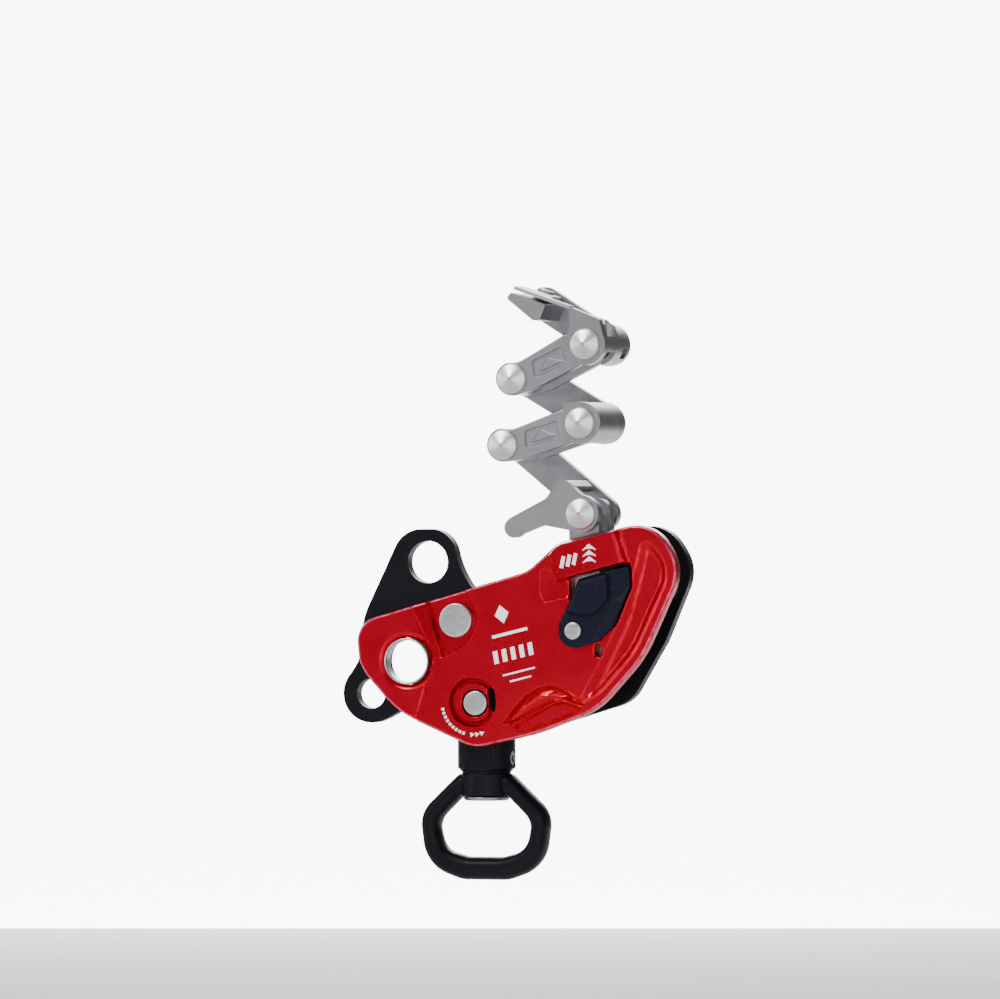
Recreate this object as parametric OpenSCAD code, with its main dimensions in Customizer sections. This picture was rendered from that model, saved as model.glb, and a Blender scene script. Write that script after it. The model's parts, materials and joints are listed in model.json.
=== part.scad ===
// Mechanical rope ascender: two cheek plates with a sprung cam between them, a folding
// chain of friction links above, a connector eye at the upper left and a swivel eye below.
// Frame: millimetres, +Z up, +X across the device, the front plate faces -Y.
// The origin is the centre of the upper connector eye, at half the attachment plate's depth.

/* [Body] */
// Thickness of the attachment plate and of the rear cheek
cheek_t = 5; // [4:0.5:6]
// Thickness of the front plate before its pockets are cut
front_t = 5; // [4.5:0.1:5.5]
// Clear width between the front plate and the rear cheek, for the rope
gap = 18; // [17.5:0.1:19]
// Running clearance between plates that turn past each other
play = 0.3; // [0.2:0.05:0.4]

/* [Eyes] */
// Radius of the upper connector eye
eye_r = 7; // [6:0.25:7.5]
// Radius of the small accessory eye in the lower lobe
lobe_eye_r = 5; // [4:0.25:6]
// Inner radius of the steel eyelet in the front plate
eyelet_r = 7; // [6:0.25:7.2]

/* [Chain] */
// Distance between the two pins of a link
pitch = 29; // [28:0.25:30]
// Thickness of each chain plate
link_t = 3.5; // [3:0.1:3.6]
// Radius of the conical pin heads
head_r = 5.2; // [4.5:0.1:5.3]
// Radius of the chain pins
pin_r = 2.5; // [2:0.1:3]
// Lean of the first rung from level, in degrees
rung_2_lean = 14.5; // [12:0.5:18]
// Lean of the second rung from level, in degrees
rung_3_lean = 23; // [20:0.5:25]

/* [Swivel] */
// Radius of the swivel block
block_r = 9.7; // [9:0.1:10.5]
// Depth of the swivel eye, front to back
eye_depth = 10; // [9:0.5:12]

/* [Hidden] */
$fn = 64;
fit = 0.05;          // radial clearance of every turning fit
touch = 0.04;        // air between parts that only lie against each other

// Depths along Y, from the attachment plate's mid-plane
attach_y = [-cheek_t / 2, cheek_t / 2];
front_y = [attach_y[0] - play - front_t, attach_y[0] - play];
rear_y = [front_y[1] + gap, front_y[1] + gap + cheek_t];
rope_y = front_y[1] + gap / 2;
stem_y = [front_y[1] + 0.4, rear_y[0] - 0.4];
cam_y = [rope_y - 6, rope_y + 6];
rung_half = 7.2;     // half the rope space between a rung's two plates
rung_front_y = [rope_y - rung_half - link_t, rope_y - rung_half];
rung_rear_y = [rope_y + rung_half, rope_y + rung_half + link_t];
ear_front_y = [rung_front_y[0] - play - link_t, rung_front_y[0] - play];
ear_rear_y = [rung_rear_y[1] + play, rung_rear_y[1] + play + link_t];
arm_front_y = [front_y[1] - link_t, front_y[1]];
bridge_y = [front_y[0] - 2.7, front_y[0] + 1];
catch_y = [front_y[0] - 1.8, front_y[0] - 0.2];
pad_y = catch_y[0] - 1.6;
groove_r = 6.6;      // radius of the anvil's rope groove
rope_lean = 17;      // lean of the rope's way through the body
spring_seat = 1.6;   // depth of the catch spring's seat
head_h = 2.3;        // height of a conical pin head
rear_head_h = 1.4;   // height of a flat riveted head

// Places in the X, Z plane
pivot = [11.3, -19.3];
anvil_screw_at = [12, -31.5];
eyelet_at = [-6, -33];
lobe_at = [-19.9, -43.9];
swivel_at = [17.8, -46.8];
catch_at = [53, -22.6];
cam_at = [55, -24];
post_at = [77, -8];
base_pin_at = [54.5, 16.1];
left_2 = along(base_pin_at, 140.5, 35.9);
right_2 = along(left_2, rung_2_lean, pitch);
left_3 = along(right_2, 149.5, pitch);
right_3 = along(left_3, rung_3_lean, pitch);
gate_lean = -19;
gate_post_at = along(right_3, 147.5, 26);
gate_pin_y = 14;

pivot_r = 4;
pivot_head_r = 5.7;
axle_r = 4;
cam_axle_r = 3.5;
cam_bush_r = 5;
ear_r = 7;
ear_wall = 1.8;
rung_end_r = 5.6;
rung_inner_r = ear_r - ear_wall - play;
sleeve_r = 5.4;
block_top_r = 9.2;
block_bottom = -69.9;
eye_top = block_bottom - 0.5;
eye_bar = -78.2;
bolt_r = 5;
lock_screw_r = 2.9;
lock_screw_z = -65.3;

// Corners of the cheeks' shared right half, clockwise from the bridge, as x, z and radius
right_corners = [
    [36.5, -2.9, 12], [47.2, 6.6, 7], [80, 14, 13], [90, -2, 14], [76.5, -31.5, 40],
    [61, -48.6, 25], [40, -56.8, 60], [18, -61.8, 12]
];
front_corners = concat(right_corners, [[-9.5, -49.8, 30], [-22.8, -35, 14], [-24.2, -20.2, 8.5]]);
rear_corners = [
    [34, -3.4, 12], [45, 6.2, 7], [77.6, 13.6, 12.5], [87.6, -2, 13.5], [77.6, -26, 30],
    [65.5, -46.5, 12], [38, -55, 60], [17, -58.6, 10], [4, -54, 12], [0.5, -13.3, 9]
];
attach_corners = [
    [-8.6, 11, 10], [8.2, 11, 9], [12.4, -9, 30], [22.5, -15, 5], [20, -29, 7],
    [14, -37.5, 4], [4.5, -39.5, 6], [-4, -46.5, 12], [-15, -52.6, 1], [-29.2, -40.5, 1],
    [-24.3, -33, 8], [-22.5, -18, 25]
];

function along(p, a, d) = p + d * [cos(a), sin(a)];
function unit(v) = v / norm(v);

// Points round one corner c of radius c[2], between its neighbours a and b
function corner(a, c, b, steps = 10) =
    let (
        p = [c[0], c[1]],
        u = unit([a[0], a[1]] - p),
        v = unit([b[0], b[1]] - p),
        half = acos(u * v) / 2,
        mid = p + unit(u + v) * (c[2] / sin(half)),
        start = p + u * (c[2] / tan(half)) - mid,
        end = p + v * (c[2] / tan(half)) - mid,
        a0 = atan2(start[1], start[0]),
        turn = atan2(start[0] * end[1] - start[1] * end[0], start * end)
    )
    [for (i = [0:steps]) mid + c[2] * [cos(a0 + turn * i / steps), sin(a0 + turn * i / steps)]];

function rounded(c) =
    [for (i = [0:len(c) - 1])
        each corner(c[(i + len(c) - 1) % len(c)], c[i], c[(i + 1) % len(c)])];

// A flat shape drawn as x, z and given depth along Y
module slab(y) {
    translate([0, y[1], 0]) rotate([90, 0, 0]) linear_extrude(y[1] - y[0]) children();
}

// A round bar along Y
module rod(p, r, y) {
    translate([p[0], y[1], p[1]]) rotate([90, 0, 0]) cylinder(r = r, h = y[1] - y[0]);
}

module disc(p, r) {
    translate(p) circle(r = r);
}

// Puts children that are drawn at the origin at p, turned by a in the X, Z plane
module at(p, a = 0) {
    translate([p[0], 0, p[1]]) rotate([0, -a, 0]) children();
}

// A bar whose ends are round, as a flat shape
module bar2d(p, q, r) {
    n = unit(q - p);
    side = r * [-n[1], n[0]];
    disc(p, r);
    disc(q, r);
    polygon([p + side, q + side, q - side, p - side]);
}

// ---------------------------------------------------------------- fixed body

module attachment_plate() color("#15161a") difference() {
    union() {
        slab(attach_y) polygon(rounded(attach_corners));
        rod(lobe_at, 9.8, attach_y);
    }
    rod([0, 0], eye_r, [-20, 20]);
    rod(lobe_at, lobe_eye_r, [-20, 20]);
    rod(eyelet_at, eyelet_r + 1.2, [-20, 20]);
    rod(pivot, pivot_r, [-20, 20]);
    rod(anvil_screw_at, 2, [-20, 20]);
    rod(anvil_screw_at, 3.6, [attach_y[0] - 1, attach_y[0] + 2.2]);
}

module rear_cheek() color("#15161a") difference() {
    slab(rear_y) polygon(rounded(rear_corners));
    for (p = [pivot, swivel_at]) rod(p, pivot_r, [0, 30]);
    rod(cam_at, cam_axle_r, [0, 30]);
    for (p = [anvil_screw_at, post_at]) rod(p, 2, [0, 30]);
    rod(post_at, 3.6, [rear_y[1] - 2.2, 30]);
}

// Fixed block that the rope is squeezed against, with a hollowed rope face
module anvil() color("#b9bcc2") difference() {
    slab([attach_y[1] + touch, rear_y[0] - touch])
        polygon(rounded([
            [4, -12.5, 5], [17, -10, 4], [25.6, -12.5, 1.5], [33, -33, 1.5], [28, -36.7, 2], [6.5, -36.4, 4]
        ]));
    rod(pivot, pivot_r, [0, 30]);
    rod(anvil_screw_at, 2, [0, 30]);
    translate([28.4, rope_y, 0]) rotate([0, -rope_lean, 0]) translate([0, 0, -60])
        cylinder(r = groove_r, h = 80);
}

module pivot_rivet() color("#c9cacc") {
    rod(pivot, pivot_r, [front_y[0] + 2.05, rear_y[1] + touch]);
    rod(pivot, pivot_head_r, [front_y[0] - 0.2, front_y[0] + 2 - touch]);
    rod(pivot, pivot_head_r, [rear_y[1] + touch, rear_y[1] + touch + 1.8]);
    rod(pivot, pivot_r, [front_y[0] + 1, front_y[0] + 2.1]);
}

module countersunk_screw(p, y_head, y_end, way) {
    head = way > 0 ? [y_head, y_head + 2.1] : [y_head - 2.1, y_head];
    shank = way > 0 ? [y_head, y_end] : [y_end, y_head];
    difference() {
        union() {
            rod(p, 3.5, head);
            rod(p, 1.96, shank);
        }
        translate([p[0], way > 0 ? y_head + 1.2 : y_head, p[1]])
            rotate([90, 0, 0]) cylinder(r = 1.5, h = 1.25, $fn = 6);
    }
}

module anvil_screw() color("#8f9297")
    countersunk_screw(anvil_screw_at, attach_y[0] + 0.1, rear_y[1] - 0.5, 1);

module cam_axle() color("#c9cacc") {
    rod(cam_at, cam_axle_r, [stem_y[0], rear_y[1] + touch]);
    rod(cam_at, 5.4, [rear_y[1] + touch, rear_y[1] + 1.6]);
}

module swivel_axle() color("#c9cacc") {
    rod(swivel_at, axle_r, [attach_y[0] + 0.05, rear_y[1] + touch]);
    rod(swivel_at, 5.7, [rear_y[1] + touch, rear_y[1] + 1.8]);
}

// Spacer that keeps the cheeks apart behind the cam
module cheek_post() color("#b9bcc2") difference() {
    rod(post_at, 5, [front_y[1] + play, rear_y[0] - touch]);
    rod(post_at, 2, [2, 30]);
}

module cheek_post_screw() color("#8f9297")
    countersunk_screw(post_at, rear_y[1] - 0.05, 5, -1);

// ---------------------------------------------------------------- swinging front plate

module bridge_2d() {
    polygon(rounded([[43, 1.7, 0.8], [46.9, -6.9, 1], [73, 0, 1], [69.2, 11.4, 0.8], [47.4, 6.4, 6]]));
}

module front_plate() color("#c4101c") difference() {
    union() {
        difference() {
            slab(front_y) polygon(rounded(front_corners));
            // dished right part inside a raised rim
            slab([front_y[0] - 1, front_y[0] + 1.4])
                polygon(rounded([
                    [76.5, 10.4, 3], [87.2, -2, 11], [74, -30.5, 38], [60.5, -45.2, 20], [52.6, -48.6, 1],
                    [61, -34, 20], [69, -18, 20], [73.6, -2, 6]
                ]));
            // shallow step left of the catch
            slab([front_y[0] - 1, front_y[0] + 0.5])
                polygon(rounded([
                    [41, -2, 1], [52, -4, 1], [52, -11.2, 1], [41.9, -13.4, 1], [40.8, -10, 2]
                ]));
        }
        slab(bridge_y) bridge_2d();
    }
    // pocket round the pivot's head, open at the top edge
    slab([front_y[0] - 1, front_y[0] + 2])
        polygon(rounded([
            [-1.5, -5, 1], [12.6, -5, 1], [19.4, -18.6, 7], [16.5, -26.5, 6], [6.6, -32.2, 1], [0.9, -13.2, 1]
        ]));
    rod(pivot, pivot_r + fit, [-20, 20]);
    rod(eyelet_at, eyelet_r + 0.8, [-20, 20]);
    // stepped recess of the lock stud, with its slot
    rod(swivel_at + [-0.4, 0.2], 8.1, [front_y[0] - 1, front_y[0] + 1.4]);
    rod(swivel_at, 6.6, [front_y[0] - 1, front_y[0] + 3]);
    slab([front_y[0] - 1, front_y[1] + 1])
        translate(swivel_at + [5.6, 1.2]) square([1.6, 7.5], center = true);
    rod(swivel_at, 2, [front_y[0], front_y[1] + 1]);
    // finger scoop at the lower edge
    slab([front_y[0] - 1, front_y[0] + 1.5])
        polygon(rounded([
            [26.5, -53.8, 2], [34, -44.5, 9], [42, -40.5, 8], [56.5, -47.2, 2], [43, -50.5, 20]
        ]));
    rod(catch_at, 1.8, [-20, 20]);
    // seat of the catch spring
    rod(catch_at, 3.7, [front_y[0] - 1, front_y[0] + spring_seat]);
    // window under the bridge, with the small slot below it
    slab([front_y[0] - 1, front_y[1] + 1])
        polygon(rounded([
            [51.2, -5.3, 0.8], [71.9, 0.2, 0.8], [72.5, -7.8, 3], [66.6, -21.4, 1.5], [51.4, -13.2, 2]
        ]));
    slab([front_y[0] - 1, front_y[1] + 1])
        polygon(rounded([[60.2, -27, 0.8], [62.2, -27.2, 0.8], [62, -31.2, 0.8], [60, -31, 0.8]]));
    // hollow behind the bridge
    slab([front_y[0] - 0.6, front_y[1] + 1])
        polygon(rounded([[52.6, -6.4, 0.8], [50.6, 1.5, 1], [68.2, 6.2, 1], [70.4, -3, 0.8]]));
}

module eyelet() color("#c6c8cb") difference() {
    rod(eyelet_at, eyelet_r + 0.8, [front_y[0] + 0.3, front_y[1]]);
    rod(eyelet_at, eyelet_r, [-20, 20]);
}

module lock_stud() color("#c9cacc") {
    rod(swivel_at, 4.1, [front_y[0] + 1.2, front_y[0] + 3 - touch]);
    rod(swivel_at, 2, [front_y[0] + 2.9, front_y[1]]);
}

module catch_rivet() color("#c9cacc") {
    rod(catch_at, 2.9, [catch_y[0] - 1, catch_y[0] - touch]);
    rod(catch_at, 1.8, [catch_y[0] - 0.5, front_y[1]]);
}

module catch_2d() {
    difference() {
        union() {
            disc(catch_at, 5.3);
            polygon(rounded([
                [54.8, -5.4, 1.2], [72, -0.95, 1.2], [72.6, -7.8, 3], [66.3, -21.6, 2], [61.6, -26, 3],
                [54.5, -28.4, 3], [47.8, -26, 2], [48, -21, 2], [50.4, -15.2, 3]
            ]));
        }
        disc(catch_at, 1.8 + fit);
    }
}

module catch() color("#101726") union() {
    slab(catch_y) catch_2d();
    // raised thumb pad
    slab([pad_y, catch_y[0] + 0.1])
        polygon(rounded([
            [55, -5.7, 1], [65.4, -2.9, 2], [66.2, -12, 6], [60.6, -17.6, 4], [56, -18, 6], [50.3, -16.6, 1]
        ]));
    // thick part that stands in the window
    slab([catch_y[1] - 0.1, front_y[1] - 0.4])
        polygon(rounded([
            [55.6, -6.4, 0.8], [66, -3.6, 1.2], [67, -8, 2], [65.4, -14.8, 2], [55.6, -11.6, 1]
        ]));
}

module catch_spring() color("#8f9297")
    translate([catch_at[0], front_y[0] + spring_seat / 2, catch_at[1]]) rotate([90, 0, 0])
        rotate_extrude() translate([2.9, 0]) circle(r = 0.5, $fn = 20);

// ---------------------------------------------------------------- cam

module cam() color("#a9acb1") difference() {
    union() {
        slab(stem_y) {
            bar2d(base_pin_at, [54.6, -11], 5.2);
            polygon([[49.4, -2], [59.8, -2], [61, -16], [50.5, -16]]);
        }
        slab([stem_y[0], 11.5]) disc(cam_at, 8);
        slab(cam_y) {
            disc(cam_at, 9);
            disc([50, -25], 9.6);
            polygon([[46, -16.3], [57, -15], [60, -31], [48, -34]]);
        }
    }
    // fork slot at the top of the stem
    translate([45, rope_y - 4, 9.5]) cube([20, 8, 20]);
    rod(base_pin_at, pin_r, [-20, 30]);
    rod(cam_at, cam_bush_r, [-20, 30]);
    // grooves of the gripping face
    for (a = [150:12:222])
        at([50, -25], a) translate([9.6, rope_y, 0]) rotate([90, 0, 0])
            cylinder(r = 0.7, h = 14, center = true);
}

module cam_bush() color("#b08a4a") difference() {
    rod(cam_at, cam_bush_r, [stem_y[0] + 0.2, 11.5]);
    rod(cam_at, cam_axle_r + fit, [-20, 30]);
}

module cam_spring() color("#8f9297")
    for (k = [0:1])
        translate([cam_at[0], 13 + 1.4 * k, cam_at[1]]) rotate([90, 0, 0])
            rotate_extrude() translate([6, 0]) circle(r = 0.6, $fn = 20);

// ---------------------------------------------------------------- chain

// A pin with a conical front head and a flat riveted rear head
module chain_pin(p, y_front, y_rear) color("#bfc0c3") {
    rod(p, pin_r, [y_front - touch, y_rear + touch]);
    translate([p[0], y_front - touch, p[1]]) rotate([90, 0, 0]) {
        cylinder(r = head_r, h = 0.6);
        translate([0, 0, 0.6]) cylinder(r1 = head_r, r2 = 0.5, h = head_h - 0.6);
    }
    rod(p, head_r - 0.7, [y_rear + touch, y_rear + touch + rear_head_h]);
}

module sleeve(p, r) color("#cfd0d3") difference() {
    rod(p, r, [rung_front_y[1] + touch, rung_rear_y[0] - touch]);
    rod(p, pin_r, [-20, 30]);
}

// One plate of a rung, from its left pin at the origin to its right pin
module rung_plate(y) color("#9d9fa5") difference() {
    union() {
        rod([0, 0], rung_end_r, y);
        rod([pitch, 0], rung_inner_r, y);
        slab(y) polygon(rounded([
            [0, -rung_end_r, 0.5], [0, rung_end_r, 0.5], [4, 4.2, 6], [8.5, 4.6, 8],
            [pitch - 6.4, 6.3, 1.5], [pitch - 3, rung_inner_r, 2], [pitch, rung_inner_r, 0.5],
            [pitch, -rung_inner_r, 0.5], [pitch - 3, -rung_inner_r, 2], [pitch - 6.2, -5.4, 2], [6, -6.3, 8]
        ]));
    }
    for (x = [0, pitch]) rod([x, 0], pin_r, [-20, 30]);
    children();
}

module rung_front_plate(p, a) at(p, a)
    rung_plate(rung_front_y)
        // tapered pocket with a raised arrow left standing in it
        slab([rung_front_y[0] - 1, rung_front_y[0] + 0.8]) difference() {
            polygon(rounded([[8.6, 2.8, 0.6], [20.6, 3.2, 0.6], [19.9, -3, 0.6], [7.3, -3.2, 1]]));
            polygon([[10.4, -1.6], [18.2, -1.4], [14, 1.6]]);
        }

module rung_rear_plate(p, a) at(p, a) rung_plate(rung_rear_y);

// The ear of a U-shaped link round its pin at the origin, with a square left side
module ear_2d() {
    disc([0, 0], ear_r);
    polygon(rounded([[-5.8, 6.2, 0.8], [0, ear_r, 0.1], [0, -ear_r, 0.1], [-5.8, -6.2, 0.8]]));
}

// The curved wall that joins the front ear to the rear arm round the right side
module ear_wall_2d(x_from = 1.5) {
    difference() {
        disc([0, 0], ear_r);
        disc([0, 0], ear_r - ear_wall);
        translate([x_from - 20, -20]) square([20, 40]);
    }
}

module u_link() color("#a9abb0") difference() {
    union() {
        at(right_2) slab(ear_front_y) ear_2d();
        at(right_2) slab([ear_front_y[0], ear_rear_y[1]]) ear_wall_2d();
        slab(ear_rear_y) bar2d(right_2, left_3, 6.2);
        at(right_2) slab(ear_rear_y) disc([0, 0], ear_r);
    }
    for (p = [right_2, left_3]) rod(p, pin_r + fit, [-20, 30]);
}

module lower_link() color("#a9abb0") difference() {
    union() {
        slab(arm_front_y) {
            disc(base_pin_at, 6.2);
            disc([31.4, 11.5], 3.4);
            polygon(rounded([
                [31, 8.1, 0.2], [37.2, 10.6, 6], [41.5, 12.3, 6], [54.5, 9.9, 0.2], [60.7, 17, 1],
                [49.6, 27.2, 1.6], [46.4, 27.2, 1.6], [42.6, 21.3, 4], [29.2, 14.3, 1]
            ]));
        }
        slab(ear_rear_y) {
            bar2d(base_pin_at, left_2, 5.8);
            polygon(rounded([[60, 17.2, 1], [49.6, 27.6, 1.6], [44, 27.6, 1.6], [48, 14, 1]]));
        }
        // the bar over the pin that joins the two sides and bears on the rope
        slab([arm_front_y[0], ear_rear_y[1]])
            polygon(rounded([
                [46.2, 27.2, 1.4], [49.8, 27.2, 1.4], [52.4, 24.8, 0.8], [50.4, 23.2, 0.8], [46.8, 24.6, 1]
            ]));
    }
    for (p = [base_pin_at, left_2]) rod(p, pin_r + fit, [-20, 30]);
}

module base_spacer() color("#c9cacc") difference() {
    rod(base_pin_at, 4.8, [stem_y[1] + touch, ear_rear_y[0] - 0.1]);
    rod(base_pin_at, pin_r, [-20, 30]);
}

module top_link() color("#b4b6ba") difference() {
    union() {
        at(right_3) slab(ear_front_y) {
            disc([0, 0], ear_r);
            polygon(rounded([
                [-5.4, 12.4, 0.8], [5, 8.2, 1.2], [ear_r, 0, 0.5], [0, -ear_r, 0.1], [-5.6, -4.6, 0.5]
            ]));
        }
        at(right_3) slab([ear_front_y[0], ear_rear_y[1]]) ear_wall_2d();
        // high front part of the wall, falling away toward the rear
        at(right_3) intersection() {
            slab([ear_front_y[0], ear_front_y[0] + 16])
                polygon(rounded([
                    [1.2, 9.7, 0.5], [5, 8.2, 1.2], [6.9, 2, 0.6], [5, 1.6, 0.5], [1.4, 5, 0.5]
                ]));
            translate([-10, ear_front_y[0], -10]) rotate([-18, 0, 0]) cube([30, 60, 20]);
        }
        slab(ear_rear_y) bar2d(right_3, gate_post_at, 5.6);
        at(right_3) slab(ear_rear_y) disc([0, 0], ear_r);
        // post on the rope's left side that carries the gate
        at(gate_post_at, gate_lean)
            slab([rung_front_y[0], ear_rear_y[1]])
                polygon(rounded([
                    [-5.8, 1.6, 0.6], [7, 1.6, 0.8], [6.6, -4.2, 1], [4.4, -4.8, 1.2], [-6.6, -0.8, 0.8]
                ]));
    }
    rod(right_3, pin_r + fit, [-20, 30]);
    // room inside the wall for the rung's end and its sleeve
    rod(right_3, ear_r - ear_wall, [ear_front_y[1], ear_rear_y[0]]);
    // notch at the foot of the wall and the slot through it
    at(right_3) translate([0, ear_front_y[1], -10]) cube([10, 10.2, 7.4]);
    at(right_3) translate([3, 15.6, -3]) rotate([0, 90, 0]) rotate([0, 0, 90])
        linear_extrude(6) bar2d([-1.2, 0], [1.2, 0], 1.7);
    at(gate_post_at, gate_lean) translate([0, gate_pin_y, -10]) cylinder(r = 2, h = 20);
}

// Flat gate that closes the rope slot in front of the rope; it turns on the post
module gate() color("#c3c5c8")
    at(gate_post_at, gate_lean) difference() {
        translate([0, 0, 2.8]) linear_extrude(1.2)
            polygon(rounded([
                [-5.6, -4.5, 1], [15.6, -4.5, 0.8], [15.6, -1.2, 1], [8, -1.2, 2], [5.4, 3, 3], [5.4, 16.9, 2],
                [-2.9, 16.9, 2.85], [-2.9, 8.8, 1], [-5.6, 7, 1]
            ]));
        translate([0, gate_pin_y, 0]) cylinder(r = 2 + fit, h = 20);
    }

module gate_rivet() color("#c9cacc")
    at(gate_post_at, gate_lean) translate([0, gate_pin_y, 0]) {
        translate([0, 0, -4]) cylinder(r = 2, h = 8.1);
        translate([0, 0, 4.04]) cylinder(r = 2.8, h = 0.8);
    }

module gate_washer() color("#8f9297")
    at(gate_post_at, gate_lean) translate([0, gate_pin_y, 0]) difference() {
        translate([0, 0, 1.64]) cylinder(r = 2.8, h = 1.1);
        cylinder(r = 2, h = 10);
    }

// ---------------------------------------------------------------- swivel

module on_swivel() {
    translate([swivel_at[0], rope_y, 0]) children();
}

module swivel_block() color("#17181c") difference() {
    intersection() {
        union() {
            on_swivel() translate([0, 0, block_bottom + 1.4])
                cylinder(r = block_r, h = swivel_at[1] - block_bottom - 1.4);
            on_swivel() translate([0, 0, block_bottom]) cylinder(r1 = block_r - 1.5, r2 = block_r, h = 1.4);
            rod(swivel_at, block_top_r, [-20, 30]);
        }
        translate([0, stem_y[0] + 0.1, -80]) cube([60, stem_y[1] - stem_y[0] - 0.2, 60]);
        translate([swivel_at[0] - block_r, -10, -80]) cube([2 * block_r, 40, 60]);
    }
    rod(swivel_at, axle_r + fit, [-20, 30]);
    on_swivel() translate([0, 0, block_bottom - 1]) cylinder(r = bolt_r, h = 14);
    on_swivel() translate([0, 0, lock_screw_z]) rotate([0, 90, 0]) cylinder(r = lock_screw_r, h = 20);
}

module swivel_bolt() color("#d5d6d9") on_swivel() {
    translate([0, 0, eye_bar - 1]) cylinder(r = bolt_r, h = block_bottom - 1 + 14 - eye_bar + 1 - touch);
    translate([0, 0, eye_bar - 1.3]) cylinder(r1 = 7.2, r2 = 8, h = 1.3 - 0.1);
}

module swivel_lock_screw() color("#c9cacc") difference() {
    on_swivel() translate([bolt_r + touch, 0, lock_screw_z]) rotate([0, 90, 0])
        cylinder(r = lock_screw_r, h = block_r - bolt_r - 0.5);
    on_swivel() translate([block_r - 2.5, 0, lock_screw_z]) rotate([0, 90, 0])
        cylinder(r = 1.4, h = 5, $fn = 6);
}

module swivel_washer() color("#b08a4a") on_swivel() difference() {
    translate([0, 0, eye_top + touch]) cylinder(r = 8.2, h = block_bottom - eye_top - 2 * touch);
    translate([0, 0, -80]) cylinder(r = bolt_r, h = 20);
}

function mirrored(c) = concat(c, [for (i = [len(c) - 1:-1:0]) [-c[i][0], c[i][1], c[i][2]]]);

module swivel_eye() color("#17181c") difference() {
    on_swivel() union() {
        translate([0, eye_depth / 2, 0]) rotate([90, 0, 0]) linear_extrude(eye_depth) difference() {
            polygon(rounded(mirrored([
                [9, eye_top, 1], [22.8, -83.6, 10], [20.6, -101.5, 13], [8, -106, 10]
            ])));
            polygon(rounded(mirrored([[8.2, eye_bar, 1], [16.6, -86.5, 6], [14.4, -96, 7], [6, -98.2, 6]])));
        }
        translate([0, 0, eye_bar]) cylinder(r = 8.6, h = eye_top - eye_bar);
    }
    on_swivel() translate([0, 0, -90]) cylinder(r = bolt_r + fit, h = 40);
}

// ---------------------------------------------------------------- nodes

attachment_plate();
rear_cheek();
anvil();
pivot_rivet();
anvil_screw();
cam_axle();
swivel_axle();
cheek_post();
cheek_post_screw();
front_plate();
eyelet();
lock_stud();
catch_rivet();
catch();
catch_spring();
cam();
cam_bush();
cam_spring();
chain_pin(base_pin_at, arm_front_y[0], ear_rear_y[1]);  // base_pin
base_spacer();
lower_link();
rung_front_plate(left_2, rung_2_lean);  // rung_2_front_plate
rung_rear_plate(left_2, rung_2_lean);  // rung_2_rear_plate
chain_pin(left_2, rung_front_y[0], ear_rear_y[1]);  // rung_2_left_pin
chain_pin(right_2, ear_front_y[0], ear_rear_y[1]);  // rung_2_right_pin
sleeve(left_2, sleeve_r);  // rung_2_left_sleeve
sleeve(right_2, rung_inner_r);  // rung_2_right_sleeve
u_link();
rung_front_plate(left_3, rung_3_lean);  // rung_3_front_plate
rung_rear_plate(left_3, rung_3_lean);  // rung_3_rear_plate
chain_pin(left_3, rung_front_y[0], ear_rear_y[1]);  // rung_3_left_pin
chain_pin(right_3, ear_front_y[0], ear_rear_y[1]);  // rung_3_right_pin
sleeve(left_3, sleeve_r);  // rung_3_left_sleeve
sleeve(right_3, rung_inner_r);  // rung_3_right_sleeve
top_link();
gate();
gate_rivet();
gate_washer();
swivel_block();
swivel_bolt();
swivel_lock_screw();
swivel_washer();
swivel_eye();
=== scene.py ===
import json
from math import acos, atan2, cos, hypot, pi, radians, sin, tan

import bmesh
import bpy
import numpy as np
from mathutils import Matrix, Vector
from mathutils.geometry import delaunay_2d_cdt


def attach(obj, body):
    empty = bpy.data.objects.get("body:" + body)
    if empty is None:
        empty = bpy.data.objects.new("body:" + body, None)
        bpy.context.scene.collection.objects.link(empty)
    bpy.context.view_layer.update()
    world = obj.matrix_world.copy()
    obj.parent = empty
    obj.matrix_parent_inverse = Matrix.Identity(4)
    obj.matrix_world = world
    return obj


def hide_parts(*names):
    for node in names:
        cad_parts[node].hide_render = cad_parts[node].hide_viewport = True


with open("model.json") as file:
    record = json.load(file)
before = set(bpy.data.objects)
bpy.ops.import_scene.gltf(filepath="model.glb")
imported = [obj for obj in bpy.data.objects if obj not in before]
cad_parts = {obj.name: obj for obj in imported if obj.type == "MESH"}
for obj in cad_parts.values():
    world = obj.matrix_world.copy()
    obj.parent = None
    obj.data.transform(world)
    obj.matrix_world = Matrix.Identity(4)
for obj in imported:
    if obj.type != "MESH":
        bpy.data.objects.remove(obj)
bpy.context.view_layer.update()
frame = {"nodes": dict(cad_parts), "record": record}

# Lengths are in mm up to the meshes, and in m for the floor, the lights and the camera.
MM = 0.001
ROPE_Y = 6.2
NODES = frame["nodes"]

# ---------------------------------------------------------------- materials


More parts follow.
